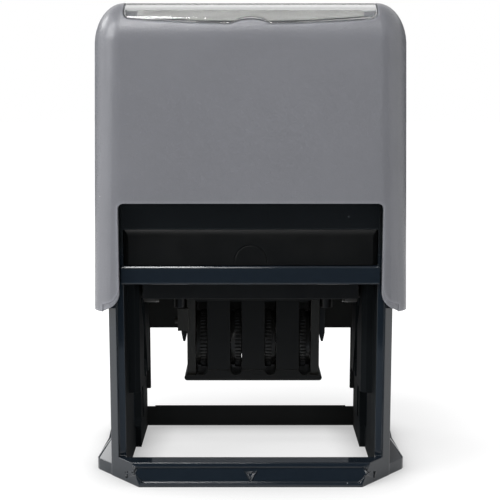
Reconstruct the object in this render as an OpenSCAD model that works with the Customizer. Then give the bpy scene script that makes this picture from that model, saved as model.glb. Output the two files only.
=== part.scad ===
// Self-inking date stamp whose print unit turns over while the cap is pressed.
// Millimetres, origin under the middle of the foot, +Z up, the front faces -Y.

/* [Print unit] */
// Width of the text plate
plate_w = 56; // [54:0.5:58]
// Depth of the text plate
plate_d = 33; // [32:0.25:34]
// Height of the type face above the swivel axis
type_rise = 9; // [8.6:0.1:9.4]
// Radius of the thumb discs
disc_r = 8.3; // [8:0.1:8.5]
// Spacing of the thumb discs
disc_pitch = 9.7; // [9.4:0.1:10]
// Thickness of a thumb disc
disc_t = 2.9; // [2.6:0.1:3.1]
// Depth of the date unit below the swivel axis
unit_drop = 25.3; // [25:0.1:25.8]
// Sideways place of the date unit
unit_x = 0.75; // [-1:0.25:1]

/* [Stroke] */
// Distance the cap travels
travel = 39; // [38:0.25:40]
// Offset of the guide pin from the swivel axis
pin_e = 7.5; // [7:0.1:8]

/* [Frame] */
// Thickness of the side walls
side_t = 4.2; // [3.9:0.1:4.5]
// Thickness of the front and rear walls
wall_t = 1.7; // [1.5:0.1:2]
// Height of the front foot bar
front_bar_h = 5.9; // [5.5:0.1:6.3]
// Height of the rear foot bar
rear_bar_h = 6.5; // [6:0.25:7]
// Lower end of the guide tracks
track_end = 21; // [19:0.5:22]
// Lower edge of the rear wall
rear_edge = 31.4; // [29:0.2:32]
// Height of the frame above the ceiling of the pad bay
head_room = 6.35; // [6:0.05:7]

/* [Ink pad] */
// Height of the pad drawer front
drawer_h = 9.6; // [9.2:0.1:10]
// Height of the bevel on the drawer front
drawer_bevel = 1.6; // [1:0.1:2]

/* [Cap] */
// Radius of the long top edges
cap_round = 11; // [10:0.5:12]
// Narrowing of each side towards the top
cap_draft = 0.8; // [0.5:0.1:1.1]
// Half width of the index window
window_hw = 32.3; // [31.1:0.2:32.9]
// Thickness of the index window
window_t = 1.6; // [1.2:0.1:1.8]

/* [Hidden] */
$fn = 64;

// Heights of the swivel axis, the type face and the pad face at rest
z_pivot = travel + type_rise;
z_type = z_pivot + type_rise;
pad_gap = 1.3;
z_pad = z_type + pad_gap;

// Plate holder
holder_hw = plate_w / 2 + 1.2;
holder_hd = plate_d / 2 + 1.5;
holder_top = z_type - 3;
holder_low = z_pivot + 0.1;
floor_lo = z_pivot + 1.8;
floor_hi = floor_lo + 2;
seat_clear = 0.15;
plate_t = 1.8;
foam_t = 1;
window_x = 1.5 * disc_pitch + disc_t / 2 + 0.45;
window_y = 5.6;
pivot_r = 2.5;
pin_r = 1.5;

// Frame shell round the swing of the holder
swing_r = norm([holder_hd, holder_top - z_pivot]);
in_hd = swing_r + 2.2;
track_in = holder_hw + 1.4;
open_hw = track_in + 3.1;
out_hw = open_hw + side_t;
out_hd = in_hd + wall_t;
band_hd = out_hd + 2.1;
pilaster_hd = out_hd + 0.6;
pilaster_hw = open_hw + 1.85;
flange_hd = pilaster_hd + 1.65;
bevel_k = 0.9;
leg_hd = flange_hd - (out_hw - pilaster_hw) / bevel_k;
rail_top = z_pad - 0.1;
band_lo = rail_top - 4.9;
ceil_lo = rail_top + drawer_h + 1.4;
ceil_hi = ceil_lo + 2.3;
frame_top = ceil_hi + head_room;
slot_hw = pivot_r + 0.25;
groove_w = 2 * pin_r + 0.6;
groove_depth = 2.1;

// Foot
foot_in_x = holder_hw + 2.9;
front_in = holder_hd + 6.8;
rear_in = holder_hd + 3.7;
rail_step_y = 1;
flange_x = holder_hw + 1.7;
flange_y = holder_hd + 1.8;
flange_end = 12.5;
wing_top = 8.4;
rim_h = 3.1;

// Press bracket and cap
arm_in = out_hw + 0.2;
arm_t = 1.2;
arm_out = arm_in + arm_t;
arm_hd = 8;
bar_lo = frame_top + travel + 1;
bar_t = 2.5;
bar_hi = bar_lo + bar_t;
bend_r = bar_t;
cap_in_hw = arm_out + 0.15;
cap_in_hd = band_hd + 0.4;
roof_in = bar_hi + 2.1;
cap_top = roof_in + 4.15;
cap_hw = cap_in_hw + 1.45;
cap_hw_low = cap_hw + cap_draft;
cap_hd = cap_in_hd + 1.8;
cap_low = travel + 7.25;
cut_hw = out_hw - 3.4;
cut_top = rail_top + drawer_h + 7.2;
edge_y = cap_hd - cap_round;
edge_z = cap_top - cap_round;
foot_hw = cap_hw_low + 0.75;
foot_hd = cap_hd + 4.5;
foot_cx = pilaster_hw - (foot_hd - flange_hd) * bevel_k;

// Index window
bow = 1.5;
bow_r = (window_hw * window_hw + bow * bow) / (2 * bow);
bow_z = cap_top - 5.65;
window_r = 1.6;
card_t = 0.3;
tab_w = 8.9;

// Date unit
z_axle = z_pivot - 14.8;
z_unit = z_pivot - unit_drop;
guard_t = 1.6;
z_guard = z_unit + guard_t;
guard_hd = 7.9;
guard_in = 7;
cheek_in = 1.5 * disc_pitch + disc_t / 2 + 0.3;
cheek_t = 2.35;
cheek_out = cheek_in + cheek_t;
guard_top = holder_low - 1.1;
slot_w = disc_t + 0.35;
axle_r = 1.5;
drum_r = 4.6;
band_clear = 0.1;
band_t = 0.9;
type_h = 0.8;
nose_r = 1.4;
nose_y = 1.4;
nose_z = z_type - type_h - band_t - band_clear - nose_r;
wire_r = 0.35;
wire_y = 5;
wire_z = z_axle - 7.5;

// Return springs
spring_x = 20;
spring_r = 4.6;
coil_r = 0.5;
coil_angle = 12.5;
coil_bend = 2;

// Extrudes an outline drawn in Y and Z from X = a to X = b
module x_extrude(a, b) {
    translate([a, 0, 0])
        rotate([90, 0, 90])
            linear_extrude(height = b - a)
                children();
}

// Extrudes an outline drawn in X and Z from Y = a to Y = b
module y_extrude(a, b) {
    translate([0, b, 0])
        rotate([90, 0, 0])
            linear_extrude(height = b - a)
                children();
}

// Cylinder along X between two stations
module x_rod(a, b, r, y, z) {
    translate([a, y, z])
        rotate([0, 90, 0])
            cylinder(h = b - a, r = r);
}

// Box given by its limits on each axis
module span(x, y, z) {
    translate([x[0], y[0], z[0]])
        cube([x[1] - x[0], y[1] - y[0], z[1] - z[0]]);
}

// Repeats the children on the left and the right
module both_sides() {
    children();
    mirror([1, 0, 0])
        children();
}

// Path of the guide pin while the print unit turns through t degrees
function pin_at(t) = [-pin_e * cos(t), z_pivot - travel * t / 180 + pin_e * sin(t)];
function pin_dir(t) = [pin_e * sin(t), pin_e * cos(t) - travel / PI];
function pin_off(t, o) = pin_at(t) + o * [-pin_dir(t)[1], pin_dir(t)[0]] / norm(pin_dir(t));

module groove_outline() {
    steps = [0 : 7.5 : 180];
    back = [180 : -7.5 : 0];
    polygon(concat(
        [for (t = steps) pin_off(t, groove_w / 2)],
        [for (t = back) pin_off(t, -groove_w / 2)]));
    for (t = [0, 180])
        translate(pin_at(t))
            circle(r = groove_w / 2);
}

// Plan of the foot between the wings, its corners cut along the faces of the legs
module foot_outline() {
    polygon([[-foot_cx, -foot_hd], [foot_cx, -foot_hd], [out_hw, -leg_hd], [out_hw, leg_hd],
        [foot_cx, foot_hd], [-foot_cx, foot_hd], [-out_hw, leg_hd], [-out_hw, -leg_hd]]);
}

// Wing beside a leg at the front, with a sloping top
module wing() {
    back = 0.2;
    cy = flange_hd - (foot_hw - pilaster_hw) / bevel_k - back;
    edge = 0.6;
    hull() {
        linear_extrude(height = rim_h)
            polygon([[out_hw - 1, back - leg_hd], [out_hw, back - leg_hd],
                [foot_hw - edge, -cy - edge / bevel_k], [foot_hw, edge - cy],
                [foot_hw - 0.95, 0], [out_hw - 1, 0]]);
        span([out_hw - 1, out_hw + 0.3], [-arm_hd - 4.2, -arm_hd], [rim_h, wing_top]);
    }
}

// Sloping front of the foot, local Y up the slope and Z outwards
slope_y = 2.5;
slope_z = front_bar_h - 0.8;
slope_a = atan2(slope_z, slope_y);
slope_l = norm([slope_y, slope_z]);

module on_slope() {
    translate([0, -foot_hd, 0.8])
        rotate([slope_a, 0, 0])
            children();
}

module position_mark() {
    difference() {
        polygon([[-1.7, 3.5], [1.7, 3.5], [0, 0.7]]);
        polygon([[-0.95, 3.1], [0.95, 3.1], [0, 1.5]]);
    }
}

module foot_body() {
    difference() {
        union() {
            intersection() {
                linear_extrude(height = 12)
                    foot_outline();
                x_extrude(-foot_hw - 1, foot_hw + 1)
                    polygon([[-foot_hd, 0], [-foot_hd, 0.8], [slope_y - foot_hd, front_bar_h],
                        [rail_step_y, front_bar_h], [rail_step_y, rear_bar_h], [rear_in, rear_bar_h],
                        [foot_hd, 0.8], [foot_hd, 0]]);
            }
            both_sides() {
                wing();
                mirror([0, 1, 0])
                    wing();
            }
        }
        span([-foot_in_x, foot_in_x], [-front_in, rear_in], [-1, 20]);
        span([-open_hw, open_hw], [-front_in, rail_step_y], [-1, 20]);
        both_sides() {
            span([out_hw, foot_hw + 1], [-arm_hd - 3.5, arm_hd + 3.5], [rim_h, 20]);
            span([foot_in_x - 2.4, foot_in_x + 0.3], [rear_in - 1, foot_hd + 1], [rear_bar_h - 0.6, 20]);
        }
        on_slope()
            translate([0, 0, -0.4])
                linear_extrude(height = 2)
                    panel_outline();
    }
    on_slope()
        translate([0, 0, -0.5])
            linear_extrude(height = 0.35)
                position_mark();
    both_sides()
        translate([pilaster_hw, -flange_hd, 0])
            rotate(atan2(1, bevel_k))
                span([-3.6, -3], [-0.25, 0.5], [1.2, 2.9]);
}

// Recessed panel on the front of the foot, drawn in towards its lower edge
module panel_outline() {
    r = 1.2;
    hw = foot_cx - 0.25;
    hull()
        for (s = [-1, 1]) {
            translate([s * (hw - r), 0.5 + r])
                circle(r = r);
            translate([s * (hw + 1.6 - r), slope_l - 1.2 - r])
                circle(r = r);
        }
}

// Plan of a side wall below the band, with its outer corners cut back
module leg_outline() {
    polygon([[open_hw, -pilaster_hd], [pilaster_hw, -pilaster_hd], [pilaster_hw, -flange_hd],
        [out_hw, -leg_hd], [out_hw, leg_hd], [pilaster_hw, flange_hd],
        [pilaster_hw, pilaster_hd], [open_hw, pilaster_hd]]);
}

// Plan of a guide track with its vertical edges cut back
module track_outline() {
    edge = 15;
    cut = 1.2;
    polygon([[track_in, cut - edge], [track_in + cut, -edge], [open_hw + 0.5, -edge],
        [open_hw + 0.5, edge], [track_in + cut, edge], [track_in, edge - cut]]);
}

// Return of a side wall along the rear opening, drawn in where it meets the rear wall
module rear_flange() {
    y_extrude(flange_y, in_hd + 0.3)
        polygon([[open_hw + 0.5, flange_end], [flange_x, flange_end], [flange_x, rear_edge],
            [flange_x + 2.4, rear_edge + 11.5], [open_hw + 0.5, rear_edge + 11.5]]);
    span([foot_in_x + 0.2, open_hw + 0.5], [in_hd, out_hd], [1, rear_edge + 1]);
}

module base_frame() {
    color([0.11, 0.14, 0.19])
    difference() {
        union() {
            foot_body();
            both_sides() {
                span([open_hw, out_hw], [-out_hd, out_hd], [band_lo, frame_top]);
                linear_extrude(height = band_lo + 1)
                    leg_outline();
                translate([0, 0, track_end])
                    linear_extrude(height = rail_top - 1 - track_end)
                        track_outline();
                span([track_in + 0.6, open_hw + 0.5], [-in_hd - 0.5, in_hd + 0.5],
                    [rail_top - 2, rail_top]);
                span([foot_in_x, open_hw + 0.5], [rail_step_y, in_hd + 0.3], [0.5, track_end + 0.5]);
                rear_flange();
                translate([spring_x, 0, ceil_hi - 0.5])
                    cylinder(h = 4.5, r = spring_r - coil_r - 0.5);
            }
            x_extrude(-open_hw - 0.5, open_hw + 0.5)
                polygon([[-in_hd, band_lo], [-band_hd + 0.3, band_lo], [-band_hd, band_lo + 0.4],
                    [-band_hd, rail_top - 0.4], [-band_hd + 0.4, rail_top], [-in_hd, rail_top]]);
            span([-open_hw - 0.5, open_hw + 0.5], [-out_hd, -in_hd],
                [rail_top + drawer_h - 0.1, frame_top]);
            span([-open_hw - 0.5, open_hw + 0.5], [in_hd, out_hd], [rear_edge, frame_top]);
            span([-open_hw - 0.5, open_hw + 0.5], [-in_hd - 0.5, in_hd + 0.5], [ceil_lo, ceil_hi]);
        }
        both_sides() {
            span([track_in - 1, out_hw + 1], [-slot_hw, slot_hw],
                [type_rise, z_pivot]);
            x_rod(track_in - 1, out_hw + 1, slot_hw, 0, type_rise);
            x_rod(track_in - 1, out_hw + 1, slot_hw, 0, z_pivot);
            x_extrude(track_in - 1, track_in + groove_depth)
                groove_outline();
        }
        span([-13, 13], [in_hd - 1, out_hd + 1], [rail_top + 1.5, rail_top + drawer_h - 2]);
    }
}

module ink_pad_tray() {
    front = out_hd + 1;
    hw = open_hw - 0.25;
    body = open_hw - 0.4;
    lo = rail_top + 0.1;
    hi = rail_top + drawer_h;
    top = hi - 0.6;
    color([0.07, 0.07, 0.075])
    difference() {
        union() {
            intersection() {
                x_extrude(-hw, hw)
                    polygon([[-out_hd, lo], [-front, lo], [-front, hi - drawer_bevel], [-out_hd, hi]]);
                linear_extrude(height = hi + 1)
                    polygon([[-hw, -out_hd], [-hw + 1.2, -front], [hw - 1.2, -front], [hw, -out_hd]]);
            }
            span([-body, body], [-out_hd - 0.2, in_hd - 0.4], [lo, top]);
        }
        span([-body + 1.8, body - 1.8], [-in_hd + 0.7, in_hd - 2.2], [lo - 1, top - 1.4]);
        intersection() {
            translate([0, -front + 0.25, lo + 1.1])
                rotate([90, 0, 0])
                    difference() {
                        cylinder(h = 2, r = 4.5);
                        translate([0, 0, -1])
                            cylinder(h = 4, r = 4.1);
                    }
            span([-6, 6], [-front - 1, -out_hd], [lo + 0.6, hi]);
        }
    }
}

module ink_pad_felt() {
    body = open_hw - 0.4;
    lo = rail_top + 0.1;
    top = rail_top + drawer_h - 0.6;
    color([0.08, 0.09, 0.16])
    span([-body + 1.9, body - 1.9], [-in_hd + 0.8, in_hd - 2.3], [lo, top - 1.4]);
}

// Rounded block of the cap, wider at its lower end, where its corners are low_ry deep
module cap_block(low_hw, top_hw, hd, rx, ry, rz, top, low_ry) {
    hull() {
        for (sx = [-1, 1])
            for (sy = [-1, 1]) {
                translate([sx * (top_hw - rx), sy * (hd - ry), top - rz])
                    scale([rx, ry, rz])
                        sphere(r = 1, $fn = 44);
                translate([sx * (low_hw - rx), sy * (hd - low_ry), cap_low])
                    scale([rx, low_ry, 1])
                        cylinder(h = 1, r = 1, $fn = 44);
            }
    }
}

// Side outline of the cap's top, drawn in Y and Z and set in by o
module top_outline(o) {
    translate([-edge_y, edge_z - 20])
        square([2 * edge_y, cap_round + 20 - o]);
    translate([-cap_hd + o, edge_z - 20])
        square([2 * cap_hd - 2 * o, 20]);
    for (s = [-1, 1])
        translate([s * edge_y, edge_z])
            circle(r = cap_round - o, $fn = 96);
}

// Front outline of the window: bowed lower edge and rounded lower corners, let out by grow
module window_outline(grow) {
    hw = window_hw + grow;
    r = window_r + grow;
    big = bow_r + grow;
    corner_z = bow_z + bow_r - sqrt(pow(big - r, 2) - pow(hw - r, 2));
    meet_x = (hw - r) * big / (big - r);
    translate([-hw, corner_z])
        square([2 * hw, cap_round + 5]);
    for (s = [-1, 1])
        translate([s * (hw - r), corner_z])
            circle(r = r);
    intersection() {
        translate([0, bow_z + bow_r])
            circle(r = big, $fn = 360);
        translate([-meet_x, corner_z - 5])
            square([2 * meet_x, 5.5]);
    }
}

// Slab that follows the cap's top between two depths inside the window's outline
module top_slab(o1, o2, grow) {
    intersection() {
        x_extrude(-window_hw - grow - 1, window_hw + grow + 1)
            difference() {
                top_outline(o1);
                top_outline(o2);
            }
        y_extrude(-cap_hd - 3, cap_hd + 3)
            window_outline(grow);
    }
}

// Finger tab left standing in the front edge of the window
module finger_tab(grow) {
    r = (tab_w * tab_w / 4 + 1) / 2;
    translate([0, -edge_y, bow_z + 1 - r])
        rotate([90, 0, 0])
            cylinder(h = cap_hd, r = r + grow);
}

// Slots in the cap for the snap hooks at the ends of the window, and the hooks
module clip_slots() {
    both_sides()
        span([window_hw - 3.4, window_hw - 0.8], [2.9 - cap_hd, 4.6 - cap_hd], [cap_top - 7.8, cap_top]);
}

module clip_hooks() {
    both_sides()
        span([window_hw - 2.6, window_hw - 1.6], [3.5 - cap_hd, 4.2 - cap_hd], [cap_top - 6.7, cap_top - 3.5]);
}

module cap_shell() {
    color([0.47, 0.475, 0.49])
    difference() {
        union() {
            difference() {
                cap_block(cap_hw_low, cap_hw, cap_hd, 8, cap_round, cap_round, cap_top, 6);
                translate([0, 0, -0.5])
                    cap_block(cap_in_hw, cap_in_hw, cap_in_hd, 4, 10, 5, roof_in + 0.5, 10);
                span([-cap_in_hw + 6, cap_in_hw - 6], [-cap_in_hd + 8, cap_in_hd - 8],
                    [cap_low - 1, cap_low + 5]);
            }
            both_sides()
                span([8, 15], [-6, 6], [bar_hi, roof_in + 1]);
        }
        difference() {
            top_slab(-2, window_t + card_t + 0.15, 0.4);
            intersection() {
                finger_tab(0);
                x_extrude(-tab_w, tab_w)
                    top_outline(0.05);
            }
        }
        clip_slots();
        y_extrude(-cap_hd - 1, cap_hd + 1)
            cut_outline();
    }
}

// Cut-out in the cap's front and rear with rounded corners
module cut_outline() {
    r = 1.5;
    ear_r = 4.5;
    ear_h = 6.5;
    translate([-cut_hw, cap_low - 1])
        square([2 * cut_hw, cut_top - r - cap_low + 1]);
    translate([-cut_hw + r, cap_low])
        square([2 * cut_hw - 2 * r, cut_top - cap_low]);
    for (s = [-1, 1]) {
        translate([s * (cut_hw - r), cut_top - r])
            circle(r = r);
        difference() {
            translate([s * (cut_hw + ear_r / 2) - ear_r / 2, cap_low - 1])
                square([ear_r, ear_h + 1]);
            translate([s * (cut_hw + ear_r), cap_low + ear_h])
                circle(r = ear_r);
        }
    }
}

module press_bracket() {
    color([0.06, 0.06, 0.065])
    difference() {
        union() {
            span([bend_r - arm_out, arm_out - bend_r], [-arm_hd, arm_hd], [bar_lo, bar_hi]);
            both_sides() {
                intersection() {
                    translate([arm_out - bend_r, arm_hd, bar_hi - bend_r])
                        rotate([90, 0, 0])
                            cylinder(h = 2 * arm_hd, r = bend_r);
                    span([arm_out - bend_r, arm_out], [-arm_hd, arm_hd], [bar_lo, bar_hi]);
                }
                span([arm_in, arm_out], [-arm_hd, arm_hd], [z_pivot, bar_hi - bend_r]);
                x_rod(arm_in, arm_out, 5, 0, z_pivot);
                translate([spring_x, 0, bar_lo - 2.5])
                    cylinder(h = 3, r = spring_r - coil_r - 0.5);
            }
        }
        both_sides()
            x_rod(arm_in - 1, arm_out + 1, pivot_r + 0.05, 0, z_pivot);
    }
}

module index_card() {
    color([0.75, 0.73, 0.7])
    difference() {
        intersection() {
            top_slab(window_t + 0.1, window_t + 0.1 + card_t, -0.3);
            span([-window_hw + 3.2, window_hw - 3.2], [-cap_hd, cap_hd], [0, cap_top]);
        }
        finger_tab(0.45);
    }
}

module index_window() {
    color([0.8, 0.82, 0.84, 0.35])
    union() {
        difference() {
            top_slab(0.05, window_t + 0.05, 0);
            finger_tab(0.3);
        }
        clip_hooks();
    }
}

// Wire path of a return spring, unrolled on its cylinder: straight, bend, coil, bend, straight
spring_h = bar_lo - ceil_hi;
leg_l = 2 * coil_r;
bend_z = coil_bend * cos(coil_angle);
bend_u = coil_bend * (1 - sin(coil_angle));
run_z = spring_h - 2 * leg_l - 2 * bend_z;
run_u = run_z / tan(coil_angle);
run_n = ceil(run_u / (2 * PI * spring_r) * 8);
bend_n = 4;
coil_path = concat(
    [[0, 0, 90]],
    [for (i = [0 : bend_n - 1])
        let (b = (90 - coil_angle) * i / bend_n)
        [coil_bend * (1 - cos(b)), leg_l + coil_bend * sin(b), 90 - b]],
    [for (i = [0 : run_n])
        [bend_u + run_u * i / run_n, leg_l + bend_z + run_z * i / run_n, coil_angle]],
    [for (i = [1 : bend_n])
        let (b = (90 - coil_angle) * (1 - i / bend_n))
        [2 * bend_u + run_u - coil_bend * (1 - cos(b)), spring_h - leg_l - coil_bend * sin(b), 90 - b]],
    [[2 * bend_u + run_u, spring_h, 90]]);

function coil_ring(p) =
    let (a = p[0] / spring_r * 180 / PI, e = p[2])
    let (out = [cos(a), sin(a), 0], up = [sin(a) * sin(e), -cos(a) * sin(e), cos(e)])
    [for (k = [0 : 5]) spring_r * out + [0, 0, p[1]] + coil_r * (cos(60 * k) * out + sin(60 * k) * up)];

module return_spring() {
    n = len(coil_path);
    points = [for (p = coil_path) each coil_ring(p)];
    faces = concat(
        [for (i = [0 : n - 2]) for (k = [0 : 5])
            each [[6 * i + k, 6 * i + (k + 1) % 6, 6 * (i + 1) + k],
                [6 * i + (k + 1) % 6, 6 * (i + 1) + (k + 1) % 6, 6 * (i + 1) + k]]],
        [for (k = [1 : 4]) [0, k + 1, k]],
        [for (k = [1 : 4]) [6 * (n - 1), 6 * (n - 1) + k, 6 * (n - 1) + k + 1]]);
    color([0.72, 0.72, 0.74])
    translate([0, 0, ceil_hi])
        polyhedron(points = points, faces = [for (f = faces) [f[0], f[2], f[1]]]);
}

// Least gap between neighbouring curls of a return spring
coil_mid = [for (p = coil_path)
    let (a = p[0] / spring_r * 180 / PI)
    [spring_r * cos(a), spring_r * sin(a), p[1]]];
coil_gap = min([for (i = [0 : len(coil_mid) - 7]) for (j = [i + 6 : len(coil_mid) - 1])
    norm(coil_mid[i] - coil_mid[j]) - 2 * coil_r]);
echo(least_gap_between_curls = coil_gap);

module return_spring_left() {
    translate([-spring_x, 0, 0])
        return_spring();
}

module return_spring_right() {
    translate([spring_x, 0, 0])
        return_spring();
}

// Window round the date bands
module unit_window(a, b) {
    span([unit_x - window_x, unit_x + window_x], [-window_y, window_y], [a, b]);
}

// Snap leg that holds the date unit under the plate holder
module snap_leg(x) {
    y_extrude(-2.5, 2.5)
        polygon([[x - 0.8, floor_lo + 0.5], [x + 0.8, floor_lo + 0.5], [x + 0.8, z_axle + 2],
            [x + 0.3, z_axle - 0.5], [x - 0.3, z_axle - 0.5], [x - 0.8, z_axle + 2]]);
}

module swivel_frame() {
    in_x = plate_w / 2 + seat_clear;
    in_y = plate_d / 2 + seat_clear;
    leg_x = cheek_out + 1.1;
    color([0.07, 0.07, 0.075])
    difference() {
        union() {
            difference() {
                span([-holder_hw, holder_hw], [-holder_hd, holder_hd], [holder_low, holder_top]);
                span([-in_x, in_x], [-in_y, in_y], [holder_low - 1, holder_top + 1]);
            }
            span([-in_x - 0.3, in_x + 0.3], [-in_y - 0.3, in_y + 0.3], [floor_lo, floor_hi]);
            both_sides() {
                x_rod(holder_hw - 3, holder_hw + 0.6, 4.2, 0, z_pivot);
                x_rod(holder_hw - 3, arm_out - 0.15, pivot_r, 0, z_pivot);
                x_rod(holder_hw - 3, holder_hw + 0.6, 2.8, -pin_e, z_pivot);
                x_rod(holder_hw - 3, track_in + groove_depth - 0.4, pin_r, -pin_e, z_pivot);
            }
            translate([unit_x, 0, 0])
                both_sides() {
                    snap_leg(leg_x);
                    translate([cheek_out + 2, -6, z_pivot - 4.5])
                        cylinder(h = floor_lo - z_pivot + 4.7, r = 1.7);
                }
        }
        unit_window(floor_lo - 1, floor_hi + 1);
        both_sides()
            span([holder_hw - 4, in_x], [-in_y + 1, in_y - 1], [floor_hi, floor_hi + 6]);
    }
}

module die_plate() {
    color([0.55, 0.56, 0.58])
    difference() {
        span([-plate_w / 2, plate_w / 2], [-plate_d / 2, plate_d / 2], [floor_hi, floor_hi + plate_t]);
        unit_window(floor_hi - 1, floor_hi + plate_t + 1);
    }
}

module die_foam() {
    lo = floor_hi + plate_t;
    color([0.85, 0.85, 0.82])
    difference() {
        span([-plate_w / 2 + 0.5, plate_w / 2 - 0.5], [-plate_d / 2 + 0.5, plate_d / 2 - 0.5],
            [lo, lo + foam_t]);
        unit_window(lo - 1, lo + foam_t + 1);
    }
}

module text_rubber() {
    lo = floor_hi + plate_t + foam_t;
    base = lo + 1;
    hw = plate_w / 2 - 1;
    hd = plate_d / 2 - 1.5;
    color([0.45, 0.12, 0.1])
    difference() {
        union() {
            span([-hw, hw], [-hd, hd], [lo, base]);
            difference() {
                span([-hw + 0.5, hw - 0.5], [-hd + 0.4, hd - 0.4], [base - 0.2, z_type]);
                span([-hw + 1.4, hw - 1.4], [-hd + 1.3, hd - 1.3], [base - 1, z_type + 1]);
            }
            for (row = [-1, 1])
                for (i = [0 : 5]) {
                    long = [9, 5, 7.5, 6, 8.5, 4][i];
                    at = [-22, -12, -6, 2.5, 9.5, 19][i];
                    span([at, at + long - 1], [row * 10.2 - 1.1, row * 10.2 + 1.1], [base - 0.2, z_type]);
                }
        }
        unit_window(lo - 1, z_type + 1);
    }
}

module band_bridge() {
    color([0.62, 0.63, 0.65])
    x_extrude(unit_x - cheek_in, unit_x + cheek_in) {
        translate([-1.2, z_pivot - 4])
            square([2.4, nose_z - z_pivot + 4]);
        translate([-nose_y, nose_z - nose_r])
            square([2 * nose_y, 2 * nose_r]);
        for (s = [-1, 1])
            translate([s * nose_y, nose_z])
                circle(r = nose_r);
    }
}

// Side plate of the date unit on the right, mirrored for the left
module cheek() {
    difference() {
        span([cheek_in, cheek_out], [-guard_in, guard_in], [z_guard, floor_lo]);
        x_rod(cheek_in - 1, cheek_out + 1, axle_r + 0.03, 0, z_axle);
        x_rod(cheek_in - 1, cheek_in + 1.2, wire_r + 0.03, wire_y, wire_z);
    }
}

module left_cheek() {
    color([0.09, 0.09, 0.095])
    translate([unit_x, 0, 0]) {
        mirror([1, 0, 0])
            cheek();
        span([-cheek_out - 2.6, -cheek_out + 0.5], [-guard_in - 0.6, -2.9], [z_axle + 3.7, z_axle + 10.1]);
        x_rod(-cheek_out - 3.5, -cheek_out - 2, 0.8, -5.2, z_axle + 6.2);
    }
}

module right_cheek() {
    color([0.09, 0.09, 0.095])
    translate([unit_x, 0, 0])
        cheek();
}

module wheel_axle() {
    color([0.75, 0.75, 0.77])
    x_rod(unit_x - cheek_out - 0.2, unit_x + cheek_out + 0.2, axle_r, 0, z_axle);
}

module finger_guard() {
    hw = cheek_in - 0.3;
    step = z_guard + 1.4;
    color([0.1, 0.1, 0.105])
    translate([unit_x, 0, 0])
    difference() {
        union() {
            x_extrude(-hw, hw)
                polygon([[-guard_hd - 0.3, z_unit], [guard_hd + 0.3, z_unit], [guard_hd + 0.3, step],
                    [guard_hd, step], [guard_hd, guard_top], [guard_in, guard_top],
                    [guard_in, z_guard], [-guard_in, z_guard], [-guard_in, guard_top],
                    [-guard_hd, guard_top], [-guard_hd, step], [-guard_hd - 0.3, step]]);
            span([-cheek_out, cheek_out], [-guard_hd - 0.3, guard_hd + 0.3], [z_unit, z_guard]);
            for (s = [-1, 1]) {
                translate([s * cheek_out, -guard_hd - 0.3, z_unit + guard_t / 2])
                    rotate([-90, 0, 0])
                        cylinder(h = 2 * guard_hd + 0.6, r = guard_t / 2);
                y_extrude(s * (guard_hd + guard_in) / 2 - 0.6, s * (guard_hd + guard_in) / 2 + 0.6)
                    translate([-cheek_out + 0.6, guard_top - 1.2])
                        square([2 * cheek_out - 1.2, 1.2]);
            }
        }
        for (i = [-1.5 : 1 : 1.5]) {
            span([i * disc_pitch - slot_w / 2, i * disc_pitch + slot_w / 2],
                [-guard_hd - 2, guard_hd + 2], [z_guard + slot_w / 2, guard_top - 1.2]);
            translate([i * disc_pitch, -guard_hd - 2, z_guard + slot_w / 2])
                rotate([-90, 0, 0])
                    cylinder(h = 2 * guard_hd + 4, r = slot_w / 2);
        }
        span([-hw - 0.1, hw + 0.1], [-guard_in + 0.05, guard_in - 0.05], [z_guard, guard_top + 1]);
        both_sides()
            span([hw - 1, cheek_out + 3], [-guard_in, guard_in], [z_guard, guard_top + 1]);
    }
}

module detent_spring() {
    color([0.8, 0.8, 0.82])
    x_rod(unit_x - cheek_in - 1, unit_x + cheek_in + 1, wire_r, wire_y, wire_z);
}

// Serrated rim of a thumb disc
module disc_outline() {
    n = 48;
    polygon([for (i = [0 : n - 1]) each [
        disc_r * [cos(360 * i / n), sin(360 * i / n)],
        disc_r * [cos(360 * (i + 0.45) / n), sin(360 * (i + 0.45) / n)],
        (disc_r - 0.45) * [cos(360 * (i + 0.6) / n), sin(360 * (i + 0.6) / n)],
        (disc_r - 0.45) * [cos(360 * (i + 0.85) / n), sin(360 * (i + 0.85) / n)]]]);
}

// Thumb disc, smooth on its outer side, and its drum for the right-hand bands, placed by number
module date_wheel(at, drum_end) {
    lo = at * disc_pitch - disc_t / 2;
    color([0.12, 0.12, 0.125])
    difference() {
        union() {
            translate([0, 0, z_axle])
                x_extrude(lo, lo + disc_t - 1.1)
                    disc_outline();
            x_rod(lo + 1, lo + disc_t, disc_r - 0.5, 0, z_axle);
            x_rod(drum_end, lo + 0.5, drum_r, 0, z_axle);
        }
        x_rod(drum_end - 1, lo + disc_t + 1, axle_r + 0.04, 0, z_axle);
    }
}

inner_end = 0.15;
outer_end = 0.5 * disc_pitch + disc_t / 2 + 0.3;

module month_wheel() {
    translate([unit_x, 0, 0])
        mirror([1, 0, 0])
            date_wheel(1.5, outer_end);
}

module day_tens_wheel() {
    translate([unit_x, 0, 0])
        mirror([1, 0, 0])
            date_wheel(0.5, inner_end);
}

module day_units_wheel() {
    translate([unit_x, 0, 0])
        date_wheel(0.5, inner_end);
}

module year_wheel() {
    translate([unit_x, 0, 0])
        date_wheel(1.5, outer_end);
}

// Outline of a date band round its drum and the nose of the bridge, set out by o
band_a = [0, z_axle];
band_b = [nose_y, nose_z];
function big_r(o) = drum_r + band_clear + o;
function small_r(o) = nose_r + band_clear + o;
band_l = norm(band_b - band_a);
band_n = atan2(band_b[1] - band_a[1], band_b[0] - band_a[0]) - acos((big_r(0) - small_r(0)) / band_l);
band_u = [cos(band_n), sin(band_n)];

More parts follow.
